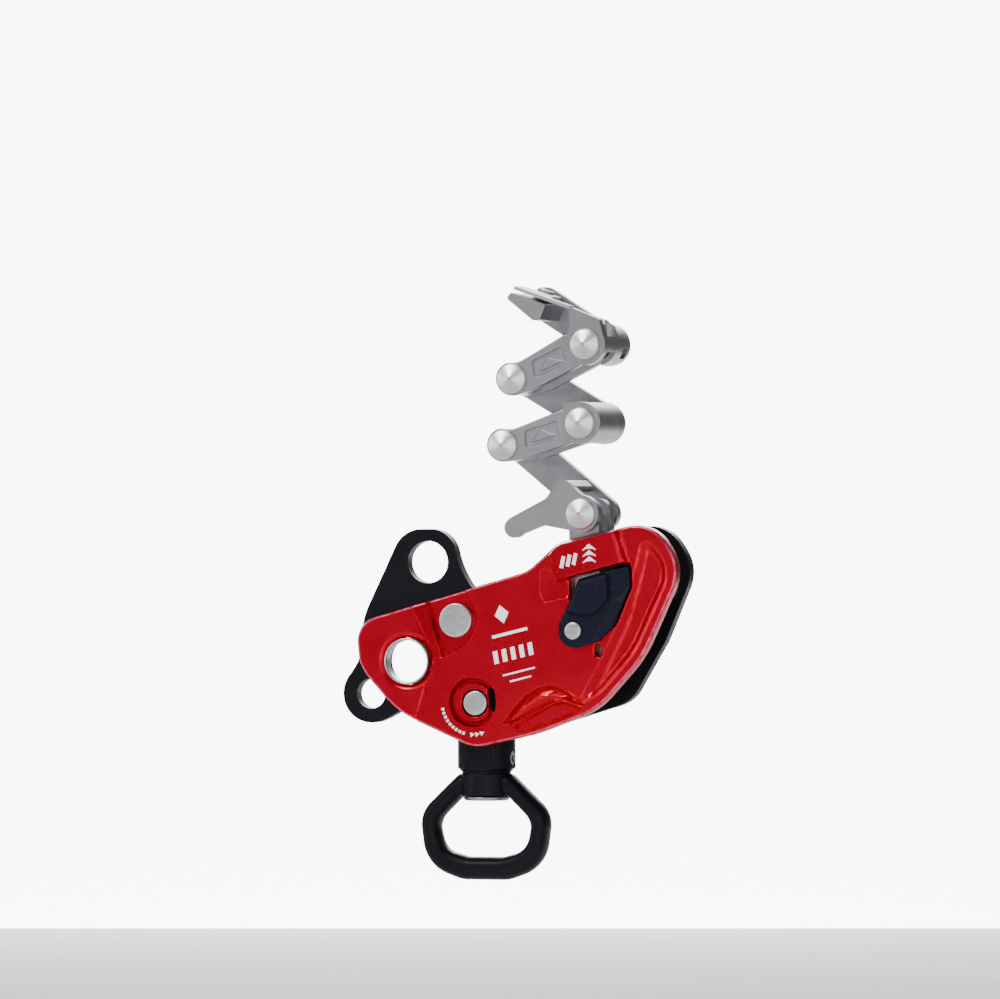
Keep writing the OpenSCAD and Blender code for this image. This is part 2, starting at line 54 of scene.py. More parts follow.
class Graph:
    """A short way to write a material's node tree."""

    def __init__(self, name, **sockets):
        self.mat = bpy.data.materials.new(name)
        self.mat.use_nodes = True
        self.tree = self.mat.node_tree
        self.bsdf = self.tree.nodes["Principled BSDF"]
        for key, value in sockets.items():
            self.bsdf.inputs[key.replace("_", " ")].default_value = value
        self.coords = self.tree.nodes.new("ShaderNodeTexCoord")

    def node(self, kind, **props):
        n = self.tree.nodes.new(kind)
        for key, value in props.items():
            if key in n.inputs:
                n.inputs[key].default_value = value
            else:
                setattr(n, key, value)
        return n

    def link(self, a, b):
        self.tree.links.new(a, b)

    def noise(self, scale, detail=4.0, rough=0.6, stretch=None):
        n = self.node("ShaderNodeTexNoise", Scale=scale, Detail=detail, Roughness=rough)
        if stretch:
            m = self.node("ShaderNodeMapping")
            m.inputs["Scale"].default_value = stretch
            self.link(self.coords.outputs["Object"], m.inputs["Vector"])
            self.link(m.outputs["Vector"], n.inputs["Vector"])
        else:
            self.link(self.coords.outputs["Object"], n.inputs["Vector"])
        return n.outputs["Fac"]

    def ramp(self, fac, stops):
        """Colours at their places along the factor."""
        r = self.node("ShaderNodeValToRGB")
        e = r.color_ramp.elements
        e[0].position, e[0].color = stops[0][0], (*stops[0][1], 1)
        e[1].position, e[1].color = stops[-1][0], (*stops[-1][1], 1)
        for p, c in stops[1:-1]:
            new = e.new(p)
            new.color = (*c, 1)
        self.link(fac, r.inputs["Fac"])
        return r.outputs["Color"]

    def map(self, fac, a, b, lo=0.3, hi=0.7):
        """a where the factor is lo, b where it is hi."""
        m = self.node("ShaderNodeMapRange")
        m.inputs["From Min"].default_value = lo
        m.inputs["From Max"].default_value = hi
        m.inputs["To Min"].default_value = a
        m.inputs["To Max"].default_value = b
        self.link(fac, m.inputs["Value"])
        return m.outputs["Result"]

    def bump(self, height, strength, distance, below=None):
        b = self.node("ShaderNodeBump", Strength=strength, Distance=distance)
        self.link(height, b.inputs["Height"])
        if below is not None:
            self.link(below, b.inputs["Normal"])
        return b.outputs["Normal"]

    def edge_mask(self, most=1.0):
        """Up to 1 on the rounded edges, in patches; it marks edge wear and, on the red, a painted
        pink highlight along the edges.
        """
        a = self.node("ShaderNodeAttribute", attribute_name="edge_wear_and_highlight")
        patch = self.map(self.noise(420, 4, 0.65), 0.25, most, 0.35, 0.65)
        m = self.node("ShaderNodeMath", operation="MULTIPLY")
        self.link(a.outputs["Fac"], m.inputs[0])
        self.link(patch, m.inputs[1])
        return m.outputs["Value"]

    def set(self, socket, value):
        self.link(value, self.bsdf.inputs[socket])


def anodised(name, deep, light, edge, rough, metallic, speck=0.5):
    """Dyed aluminium: a faint cloud and grain in the dye, paler on the rounded edges, which is edge
    wear and, on the red, a painted pink highlight.
    """
    g = Graph(name, Metallic=metallic)
    cloud = g.noise(38, 3, 0.5)
    grain = g.noise(2600, 3, 0.6)
    mixed = g.node("ShaderNodeMix", data_type="RGBA")
    g.link(g.map(grain, 0.0, speck), mixed.inputs["Factor"])
    g.link(g.ramp(cloud, [(0.3, deep), (0.7, light)]), mixed.inputs["A"])
    mixed.inputs["B"].default_value = (*[min(1, c * 1.35 + 0.004) for c in light], 1)
    # edge colour on the rounded edges: edge wear, and for the red a painted highlight
    edge_wear_and_highlight = g.node("ShaderNodeMix", data_type="RGBA")
    g.link(g.edge_mask(), edge_wear_and_highlight.inputs["Factor"])
    g.link(mixed.outputs["Result"], edge_wear_and_highlight.inputs["A"])
    edge_wear_and_highlight.inputs["B"].default_value = (*edge, 1)
    g.set("Base Color", edge_wear_and_highlight.outputs["Result"])
    g.set("Roughness", g.map(g.noise(150, 5, 0.6), rough - 0.01, rough + 0.02))
    g.set("Normal", g.bump(grain, 0.10, 0.00004, g.bump(cloud, 0.03, 0.0003)))
    return g.mat


def tumbled(name, dark, light, rough):
    """Bare aluminium from a tumbling drum: pitted, with polished edges."""
    g = Graph(name, Metallic=1.0)
    cloud = g.noise(60, 4, 0.6)
    grain = g.noise(1900, 4, 0.65)
    both = g.node("ShaderNodeMix", data_type="RGBA")
    g.link(g.map(grain, 0.0, 0.6), both.inputs["Factor"])
    g.link(g.ramp(cloud, [(0.3, dark), (0.7, light)]), both.inputs["A"])
    both.inputs["B"].default_value = (*[c * 0.86 for c in dark], 1)
    edge_wear_and_highlight = g.node("ShaderNodeMix", data_type="RGBA")
    g.link(g.edge_mask(), edge_wear_and_highlight.inputs["Factor"])
    g.link(both.outputs["Result"], edge_wear_and_highlight.inputs["A"])
    edge_wear_and_highlight.inputs["B"].default_value = (0.82, 0.82, 0.84, 1)
    g.set("Base Color", edge_wear_and_highlight.outputs["Result"])
    g.set("Roughness", g.map(grain, rough - 0.06, rough + 0.08))
    g.set("Normal", g.bump(grain, 0.30, 0.00005, g.bump(cloud, 0.12, 0.0003)))
    return g.mat


RINGS_PER_UV = 900


def turned(name, colour, rough):
    """Lathe-turned steel: fine rings round the piece's own axis, read from its UV map."""
    g = Graph(name, Metallic=1.0, Anisotropic=0.75)
    uv = g.node("ShaderNodeUVMap", uv_map="lathe")
    split = g.node("ShaderNodeSeparateXYZ")
    g.link(uv.outputs["UV"], split.inputs["Vector"])
    join = g.node("ShaderNodeCombineXYZ")
    scaled = g.node("ShaderNodeMath", operation="MULTIPLY")
    scaled.inputs[1].default_value = RINGS_PER_UV
    g.link(split.outputs["Y"], scaled.inputs[0])
    g.link(scaled.outputs["Value"], join.inputs["X"])
    around = g.node("ShaderNodeMath", operation="MULTIPLY")
    around.inputs[1].default_value = 3.0
    g.link(split.outputs["X"], around.inputs[0])
    g.link(around.outputs["Value"], join.inputs["Y"])
    n = g.node("ShaderNodeTexNoise", Scale=1.0, Detail=4.0, Roughness=0.7)
    g.link(join.outputs["Vector"], n.inputs["Vector"])
    ring = n.outputs["Fac"]
    g.set("Base Color", g.ramp(ring, [(0.3, [c * 0.85 for c in colour]), (0.7, colour)]))
    g.set("Roughness", g.map(ring, rough - 0.05, rough + 0.08))
    g.set("Normal", g.bump(ring, 0.10, 0.00003))
    t = g.node("ShaderNodeTangent", direction_type="UV_MAP", uv_map="lathe")
    g.set("Tangent", t.outputs["Tangent"])
    return g.mat


def brushed(name, colour, rough):
    """Steel with fine straight brush lines."""
    g = Graph(name, Metallic=1.0)
    line = g.noise(260, 5, 0.7, stretch=(1, 1, 14))
    g.set("Base Color", g.ramp(line, [(0.35, [c * 0.66 for c in colour]), (0.65, colour)]))
    g.set("Roughness", g.map(line, rough - 0.06, rough + 0.10))
    g.set("Normal", g.bump(line, 0.2, 0.00003))
    return g.mat


def moulded(name, deep, light):
    """Grained plastic with pale specks."""
    g = Graph(name, Roughness=0.5, Specular_IOR_Level=0.17)
    g.bsdf.inputs["Coat Weight"].default_value = 0.05
    cells = g.node("ShaderNodeTexVoronoi", Scale=2300.0)
    g.link(g.coords.outputs["Object"], cells.inputs["Vector"])
    fine = g.noise(3800, 3, 0.6)
    speck = g.noise(1500, 2, 0.5)
    pale = [c * 1.9 for c in light]
    g.set("Base Color", g.ramp(speck, [(0.35, deep), (0.62, light), (0.75, pale)]))
    g.set("Roughness", g.map(fine, 0.38, 0.62))
    g.set("Normal", g.bump(cells.outputs["Distance"], 0.55, 0.00012, g.bump(fine, 0.3, 0.00005)))
    return g.mat


# the red's edge colour (0.98, 0.12, 0.24) is a painted pink highlight on its rounded edges,
# together with edge wear
RED = anodised("red_anodised", (0.50, 0.0010, 0.016), (0.60, 0.0016, 0.022),
               (0.98, 0.12, 0.24), 0.31, 0.92, 0.2)
BLACK = anodised("black_anodised", (0.0024, 0.0027, 0.0048), (0.0045, 0.005, 0.0085),
                 (0.022, 0.023, 0.028), 0.40, 0.3, 0.35)
BLACK.node_tree.nodes["Principled BSDF"].inputs["Specular IOR Level"].default_value = 0.22
LINK = tumbled("link_aluminium", (0.36, 0.36, 0.385), (0.47, 0.47, 0.50), 0.40)
LINK_PALE = tumbled("pale_aluminium", (0.54, 0.54, 0.56), (0.66, 0.66, 0.68), 0.42)
HEAD = turned("turned_steel", (0.72, 0.70, 0.70), 0.30)
RIVET = brushed("brushed_steel", (0.70, 0.70, 0.71), 0.34)
STEEL = brushed("plain_steel", (0.50, 0.50, 0.51), 0.34)
SPRING = brushed("spring_wire", (0.42, 0.42, 0.44), 0.3)
BRONZE = brushed("bearing_bronze", (0.46, 0.29, 0.12), 0.4)
PLASTIC = moulded("catch_plastic", (0.0016, 0.0028, 0.0105), (0.0034, 0.006, 0.022))


def ink():
    """White print, with a painted glow that keeps it white against the red."""
    g = Graph("white_print", Roughness=0.55)
    # painted glow: the print gives off light of its own to stay white
    g.bsdf.inputs["Emission Color"].default_value = (1, 0.97, 0.98, 1)
    g.bsdf.inputs["Emission Strength"].default_value = 0.55
    n = g.noise(2400, 3, 0.6)
    g.set("Base Color", g.ramp(n, [(0.35, (0.80, 0.78, 0.79)), (0.6, (0.92, 0.91, 0.92))]))
    g.set("Normal", g.bump(n, 0.2, 0.00003))
    return g.mat


INK = ink()

# ---------------------------------------------------------------- flat geometry, in mm


def unit(v):
    """The vector at length 1."""
    return v / hypot(*v)


def rounded(corners, steps=8):
    """The same outline as in the CAD: corners as x, z and radius."""
    out = []
    for i, c in enumerate(corners):
        p = np.array(c[:2], float)
        u = unit(np.array(corners[i - 1][:2], float) - p)
        v = unit(np.array(corners[(i + 1) % len(corners)][:2], float) - p)
        half = acos(max(-1, min(1, float(u @ v)))) / 2
        mid = p + unit(u + v) * (c[2] / sin(half))
        a = p + u * (c[2] / tan(half)) - mid
        b = p + v * (c[2] / tan(half)) - mid
        a0 = atan2(a[1], a[0])
        turn = atan2(a[0] * b[1] - a[1] * b[0], float(a @ b))
        for k in range(steps + 1):
            t = a0 + turn * k / steps
            out.append(mid + c[2] * np.array([cos(t), sin(t)]))
    return np.array(out)


def circle(p, r, n=64):
    t = np.arange(n) * 2 * pi / n
    return np.stack([p[0] + r * np.cos(t), p[1] + r * np.sin(t)], 1)


def area(loop):
    """Signed area, positive when the loop runs anticlockwise."""
    x, y = loop[:, 0], loop[:, 1]
    return 0.5 * float(np.sum(x * np.roll(y, -1) - np.roll(x, -1) * y))


def resample(loop, step):
    """Drops points that nearly touch, then splits long sides."""
    keep = [loop[0]]
    for p in loop[1:]:
        if np.linalg.norm(p - keep[-1]) > 0.04:
            keep.append(p)
    if np.linalg.norm(keep[0] - keep[-1]) < 0.04:
        keep.pop()
    out = []
    for i, p in enumerate(keep):
        q = keep[(i + 1) % len(keep)]
        n = max(1, int(np.ceil(np.linalg.norm(q - p) / step)))
        out += [p + (q - p) * k / n for k in range(n)]
    return np.array(out)


def offset(loop, d):
    """Moves a loop to the left of its way round by d."""
    e = np.roll(loop, -1, 0) - loop
    e /= np.linalg.norm(e, axis=1, keepdims=True)
    n = np.stack([-e[:, 1], e[:, 0]], 1)
    m = n + np.roll(n, 1, 0)
    m /= np.linalg.norm(m, axis=1, keepdims=True)
    c = np.clip(np.sum(m * n, 1, keepdims=True), 0.5, 1)
    return loop + m * d / c


def inside(P, poly):
    """Which of the points lie in the polygon."""
    x, y = P[:, 0][:, None], P[:, 1][:, None]
    a, b = poly, np.roll(poly, -1, 0)
    cross = (a[:, 1] > y) != (b[:, 1] > y)
    dy = np.where(b[:, 1] == a[:, 1], 1e-12, b[:, 1] - a[:, 1])
    xs = a[:, 0] + (y - a[:, 1]) * (b[:, 0] - a[:, 0]) / dy
    return (np.sum(cross & (x < xs), 1) % 2) == 1


def near(P, loop):
    """Distance from each point to a closed loop."""
    best = np.full(len(P), 1e9)
    for p, q in zip(loop, np.roll(loop, -1, 0)):
        d = q - p
        t = np.clip(((P - p) @ d) / max(float(d @ d), 1e-12), 0, 1)
        best = np.minimum(best, np.linalg.norm(P - p - t[:, None] * d, axis=1))
    return best


def depth(P, poly):
    """Distance to a polygon's edge, positive inside it."""
    return np.where(inside(P, poly), 1, -1) * near(P, poly)


def ramp(x, a, b):
    """0 at a, 1 at b, smooth between."""
    t = np.clip((x - a) / (b - a), 0, 1)
    return t * t * (3 - 2 * t)


def line_side(P, a, b):
    """Signed distance from the line a to b, positive to its left."""
    d = unit(np.array(b, float) - np.array(a, float))
    q = P - np.array(a, float)
    return d[0] * q[:, 1] - d[1] * q[:, 0]


# ---------------------------------------------------------------- meshes


def finish_mesh(name, verts, faces, mat, body, smooth=40, replaces=()):
    """A new piece from points in mm, with smooth shading up to an angle, riding on a body."""
    me = bpy.data.meshes.new(name)
    me.from_pydata([tuple(float(c) * MM for c in v) for v in verts], [], faces)
    bm = bmesh.new()
    bm.from_mesh(me)
    bmesh.ops.remove_doubles(bm, verts=bm.verts, dist=2e-6)
    bmesh.ops.recalc_face_normals(bm, faces=bm.faces)
    bm.to_mesh(me)
    bm.free()
    return place(name, me, mat, body, smooth, replaces)


def shade(me, angle):
    """Smooth normals that stay true on flat faces.

    A face counts by the size of the flat it belongs to, where faces meet at less than angle."""
    nf, nl = len(me.polygons), len(me.loops)
    normal = np.zeros(nf * 3)
    me.polygons.foreach_get("normal", normal)
    normal = normal.reshape(-1, 3)
    size = np.zeros(nf)
    me.polygons.foreach_get("area", size)
    size += 1e-14
    total = np.zeros(nf, int)
    me.polygons.foreach_get("loop_total", total)
    face = np.repeat(np.arange(nf), total)
    vert = np.zeros(nl, int)
    me.loops.foreach_get("vertex_index", vert)
    edge = np.zeros(nl, int)
    me.loops.foreach_get("edge_index", edge)
    order = np.argsort(edge, kind="stable")
    e, f = edge[order], face[order]
    same = np.nonzero(e[1:] == e[:-1])[0]
    a, b = f[same], f[same + 1]
    flat_pair = np.sum(normal[a] * normal[b], 1) > cos(radians(0.6))
    root = list(range(nf))

    def find(i):
        while root[i] != i:
            root[i] = root[root[i]]
            i = root[i]
        return i

    for i, j in zip(a[flat_pair].tolist(), b[flat_pair].tolist()):
        i, j = find(i), find(j)
        if i != j:
            root[j] = i
    group = np.array([find(i) for i in range(nf)])
    weight = np.bincount(group, size, nf)[group]
    out = np.zeros((nl, 3))
    order = np.argsort(vert, kind="stable")
    counts = np.bincount(vert, minlength=len(me.vertices))
    starts = np.concatenate([[0], np.cumsum(counts)[:-1]])
    limit = cos(radians(angle))
    for k in set(counts.tolist()) - {0}:
        loops = order[starts[counts == k][:, None] + np.arange(k)]
        n = normal[face[loops]]
        w = weight[face[loops]]
        near_by = np.einsum("nik,njk->nij", n, n) > limit
        near_by |= np.eye(k, dtype=bool)
        out[loops] = np.einsum("nij,nj,njk->nik", near_by, w, n)
    out = np.nan_to_num(out)
    length = np.linalg.norm(out, axis=1, keepdims=True)
    out = np.where(length > 1e-20, out / np.maximum(length, 1e-20), normal[face])
    me.normals_split_custom_set(out.tolist())


def place(name, me, mat, body, smooth=40, replaces=()):
    """Puts a mesh into the scene on its body, in place of the CAD nodes in replaces."""
    for p in me.polygons:
        p.use_smooth = True
    shade(me, smooth)
    me.materials.clear()
    me.materials.append(mat)
    ob = bpy.data.objects.new(name, me)
    bpy.context.scene.collection.objects.link(ob)
    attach(ob, body)
    if replaces:
        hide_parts(*replaces)
    return ob


def cdt(loops, points=None):
    """Triangles inside the first loop and outside the others.

    Returns the points, the faces and where each input point went."""
    pts, edges, n = [], [], 0
    for lp in loops:
        pts += [tuple(p) for p in lp]
        edges += [(n + i, n + (i + 1) % len(lp)) for i in range(len(lp))]
        n += len(lp)
    if points is not None and len(points):
        pts += [tuple(p) for p in points]
    v, _, f, ov, _, _ = delaunay_2d_cdt([Vector(p) for p in pts], edges, [], 0, 1e-5)
    where = {}
    for i, olds in enumerate(ov):
        for o in olds:
            where[o] = i
    v = np.array([tuple(p) for p in v])
    f = np.array([t for t in f if len(t) == 3])
    c = v[f].mean(1)
    ok = inside(c, loops[0])
    for lp in loops[1:]:
        ok &= ~inside(c, lp)
    return v, f[ok], where


FEATURE_STEP = 0.7
FEATURE_CELL = 0.22


def relief(name, loops, height, y_front, y_back, mat, body, r=0.8, rb=0.4, grid=0.9,
           features=(), step=0.9, frame_at=None, replaces=(), smooth=40, rings=5):
    """A plate whose front is a height field, with edges rounded by r in front and rb behind.

    loops are the outline and then the holes. height takes points in x, z and gives the amount
    that the front stands out from y_front. features are lines along which the grid is tightened,
    each with its offsets. frame_at is the place and lean of a plate drawn about its own pin."""
    loops = [resample(np.array(lp, float), step) for lp in loops]
    loops = [lp if (area(lp) > 0) == (k == 0) else lp[::-1] for k, lp in enumerate(loops)]
    cap = [offset(lp, r) for lp in loops]
    lo, hi = loops[0].min(0), loops[0].max(0)
    gx, gz = np.meshgrid(np.arange(lo[0], hi[0], grid), np.arange(lo[1], hi[1], grid))
    gx = gx + (np.arange(gx.shape[0]) % 2)[:, None] * grid / 2
    P = np.stack([gx.ravel(), gz.ravel()], 1)
    tight = []
    for f, offs in features:
        f = resample(np.array(f, float), FEATURE_STEP)
        f = f if area(f) > 0 else f[::-1]
        tight += [offset(f, d) for d in offs]
    T = np.concatenate(tight) if tight else np.zeros((0, 2))

    def clear(Q, gap):
        ok = inside(Q, cap[0])
        for c in cap[1:]:
            ok &= ~inside(Q, c)
        for c in cap:
            ok &= near(Q, c) > gap
        return Q[ok]

    P = clear(P, grid * 0.5)
    if len(T):
        T = clear(T, 0.2)
        cells = {}
        for q in T:
            cells.setdefault((round(q[0] / FEATURE_CELL), round(q[1] / FEATURE_CELL)), q)
        T = np.array(list(cells.values()))
        d = np.full(len(P), 1e9)
        for i in range(0, len(T), 400):
            d = np.minimum(d, np.linalg.norm(P[:, None] - T[None, i:i + 400], axis=2).min(1))
        P = np.concatenate([P[d > grid * 0.4], T])
    inner = [offset(lp, r + 0.35) for lp in loops]
    P = np.concatenate([P] + [clear(q, 0.15) for q in inner])
    v2, f, where = cdt(cap, P)
    verts = [np.stack([v2[:, 0], y_front - height(v2), v2[:, 1]], 1)]
    faces = [tuple(int(i) for i in t) for t in f]
    n = len(v2)
    back = [offset(lp, rb) for lp in loops]
    b2, bf, bwhere = cdt(back)
    start = 0
    walls = []
    ids = []
    for k, lp in enumerate(loops):
        m = len(lp)
        prev = [where[start + i] for i in range(m)]
        for j in range(1, rings + 1):
            phi = (pi / 2) * (1 - j / rings)
            ring = offset(lp, r * (1 - cos(phi)))
            y = y_front - height(ring) + r * (1 - sin(phi))
            verts.append(np.stack([ring[:, 0], y, ring[:, 1]], 1))
            cur = list(range(n, n + m))
            n += m
            walls.append((prev, cur))
            prev = cur
        verts.append(np.stack([lp[:, 0], np.full(m, y_back - rb), lp[:, 1]], 1))
        cur = list(range(n, n + m))
        n += m
        walls.append((prev, cur))
        mid = offset(lp, rb * 0.3)
        verts.append(np.stack([mid[:, 0], np.full(m, y_back - rb * 0.3), mid[:, 1]], 1))
        cur2 = list(range(n, n + m))
        n += m
        walls.append((cur, cur2))
        ids.append((cur2, start))
        start += m
    base = n
    verts.append(np.stack([b2[:, 0], np.full(len(b2), y_back), b2[:, 1]], 1))
    faces += [tuple(base + int(i) for i in t) for t in bf]
    for cur2, s in ids:
        walls.append((cur2, [base + bwhere[s + i] for i in range(len(cur2))]))
    first_wall = len(faces)
    rim_faces = sum(len(a) for a, b in walls[:rings])
    for a, b in walls:
        m = len(a)
        for i in range(m):
            j = (i + 1) % m
            faces.append((a[i], a[j], b[j], b[i]))
    V = np.concatenate(verts)
    if frame_at:
        (px, pz), ang = frame_at
        c, s = cos(radians(ang)), sin(radians(ang))
        x, z = V[:, 0].copy(), V[:, 2].copy()
        V[:, 0] = px + c * x - s * z
        V[:, 2] = pz + s * x + c * z
    ob = finish_mesh(name, V, faces, mat, body, smooth, replaces)
    me = ob.data
    if len(me.polygons) == len(faces):
        # the front rounding's faces get the edge mask: edge wear and a painted edge highlight
        edge_wear_and_highlight = np.zeros(len(faces), np.float32)
        edge_wear_and_highlight[first_wall:first_wall + rim_faces] = 1
        me.attributes.new("edge_wear_and_highlight", "FLOAT", "FACE").data.foreach_set("value", edge_wear_and_highlight)
    return ob


def flat(P):
    """The height of a plain face."""
    return np.zeros(len(P))


def lathe(name, p, profile, mat, body, n=72, replaces=(), smooth=35):
    """Turns a profile of radius and y about the Y axis through p, with a UV map round and along."""
    verts, faces, uvs = [], [], []
    m = len(profile)
    length = [0]
    for a, b in zip(profile, profile[1:]):
        length.append(length[-1] + hypot(a[0] - b[0], a[1] - b[1]))
    for i in range(n):
        t = 2 * pi * i / n
        for r, y in profile:
            verts.append((p[0] + r * cos(t), y, p[1] + r * sin(t)))
    for i in range(n):
        j = (i + 1) % n
        for k in range(m - 1):
            quad = [(i, k), (j, k), (j, k + 1), (i, k + 1)]
            if profile[k][0] < 1e-9:
                quad = [(i, k), (j, k + 1), (i, k + 1)]
            elif profile[k + 1][0] < 1e-9:
                quad = [(i, k), (j, k), (i, k + 1)]
            faces.append(tuple(q * m + kk for q, kk in quad))
            wrap = [(q if not (i == n - 1 and q == 0) else n, kk) for q, kk in quad]
            uvs.append([(q / n, length[kk] * 0.01) for q, kk in wrap])
    me = bpy.data.meshes.new(name)
    me.from_pydata([tuple(c * MM for c in v) for v in verts], [], faces)
    layer = me.uv_layers.new(name="lathe")
    k = 0
    for uv in uvs:
        for c in uv:
            layer.data[k].uv = c
            k += 1
    bm = bmesh.new()
    bm.from_mesh(me)
    bmesh.ops.remove_doubles(bm, verts=bm.verts, dist=1e-6)
    bmesh.ops.recalc_face_normals(bm, faces=bm.faces)
    bm.to_mesh(me)
    bm.free()
    return place(name, me, mat, body, smooth, replaces)


def refine(node, mat, width=0.4, segments=3, angle=32, smooth=40):
    """A copy of a CAD node, with the edges sharper than angle rounded, that stands for it."""
    bm = bmesh.new()
    bm.from_mesh(NODES[node].data)
    bmesh.ops.remove_doubles(bm, verts=bm.verts, dist=3e-6)
    bmesh.ops.dissolve_limit(bm, angle_limit=radians(0.4), verts=bm.verts, edges=bm.edges)
    bmesh.ops.recalc_face_normals(bm, faces=bm.faces)
    # bevel faces get the edge mask: edge wear and a painted edge highlight
    edge_wear_and_highlight = bm.faces.layers.float.new("edge_wear_and_highlight")
    if width:
        edges = [e for e in bm.edges
                 if len(e.link_faces) == 2 and e.calc_face_angle(0) > radians(angle)]
        made = bmesh.ops.bevel(bm, geom=edges, offset=width * MM, offset_type="OFFSET",
                               segments=segments, profile=0.5, affect="EDGES", clamp_overlap=True)
        for f in made["faces"]:
            f[edge_wear_and_highlight] = 1.0
    bmesh.ops.triangulate(bm, faces=[f for f in bm.faces if len(f.verts) > 4])
    me = bpy.data.meshes.new(node + "_skin")
    bm.to_mesh(me)
    bm.free()
    if "custom_normal" in me.attributes:
        me.attributes.remove(me.attributes["custom_normal"])
    body = next(b for b, ns in frame["record"]["behaviour"]["bodies"].items() if node in ns)
    return place(node + "_skin", me, mat, body, smooth, (node,))


# ---------------------------------------------------------------- places, in mm, as in the CAD


def along(p, a, d):
    """The point at distance d from p in the direction a, in degrees."""
    return (p[0] + d * cos(radians(a)), p[1] + d * sin(radians(a)))


FRONT = -7.8
BACK = -2.8
PIVOT = (11.3, -19.3)
EYELET = (-6, -33)
SWIVEL = (17.8, -46.8)
CATCH = (53, -22.6)
P1 = (54.5, 16.1)
L2 = along(P1, 140.5, 35.9)
R2 = along(L2, 14.5, 29)
L3 = along(R2, 149.5, 29)
R3 = along(L3, 23, 29)
RUNG_FRONT = -4.5
EAR_FRONT = -8.3
EAR_REAR = 20.7

FRONT_OUTLINE = rounded([
    [36.5, -2.9, 12], [47.2, 6.6, 7], [80, 14, 13], [90, -2, 14], [76.5, -31.5, 40],
    [61, -48.6, 25], [40, -56.8, 60], [18, -61.8, 12], [-9.5, -49.8, 30], [-22.8, -35, 14],
    [-24.2, -20.2, 8.5]], 10)

# ---------------------------------------------------------------- front plate

LEFT_REGION = np.array([
    (-4.1, -14.7), (-0.5, -22.6), (3.2, -29.6), (3.9, -31.6), (3.5, -33.8), (1.6, -39.5),
    (-3.4, -56), (-40, -56), (-40, -4), (-8.2, -4)])
BAND = np.array([(-3.9, -14.2), (4.9, -31.9), (6.6, -32.2), (0.9, -13.2), (-1.6, -4), (-8, -4)])
RIVET_POCKET = rounded([
    [-1.5, -5, 1], [12.6, -5, 1], [19.4, -18.6, 7], [16.5, -26.5, 6], [6.6, -32.2, 1],
    [0.9, -13.2, 1]], 6)
DISH = rounded([
    [76.5, 10.4, 3], [87.2, -2, 11], [74, -30.5, 38], [60.5, -45.2, 20], [52.6, -48.6, 1],
    [61, -34, 20], [69, -18, 20], [73.6, -2, 6]], 8)
BRIDGE = rounded([[43, 1.7, .8], [46.9, -6.9, 1], [73, 0, 1], [69.2, 11.4, .8], [47.4, 6.4, 6]], 8)
BRIDGE_TOP = 2.7
STEP_LEFT = rounded([[41, -2, 1], [52, -4, 1], [52, -11.2, 1], [41.9, -13.4, 1], [40.8, -10, 2]], 5)
SCOOP = np.array([
    (27.4, -53.6), (29.2, -51.4), (31.6, -48.3), (35.8, -44), (40.3, -41.4), (44.2, -40.6),
    (47.4, -41.2), (51.6, -43.1), (55.1, -45.7), (56.9, -47.6), (54.2, -47.5), (51.2, -46.4),
    (48.8, -45.6), (45.6, -46.4), (39.6, -49.4), (34.6, -52.0), (30.4, -54.4)])
SCOOP_LOW = np.array([
    (30.5, -54.4), (34.6, -52.0), (39.6, -49.4), (45.6, -46.4), (48.8, -45.6), (53, -47),
    (56.4, -48.0), (52.6, -50.4), (46, -53.0), (38, -55.6), (33.4, -56.4)])
WINDOW = rounded([
    [51.2, -5.3, .8], [71.9, .2, .8], [72.5, -7.8, 3], [66.6, -21.4, 1.5], [51.4, -13.2, 2]], 8)
SLOT = rounded([[60.2, -27, .8], [62.2, -27.2, .8], [62, -31.2, .8], [60, -31, .8]], 5)
LOCK_SLOT = rounded([
    [22.4, -41.9, 1.2], [24.8, -41.8, 1.2], [25.1, -49.4, 1.2], [22.7, -49.4, 1.2]], 5)
LOCK_AT = (17.4, -46.6)


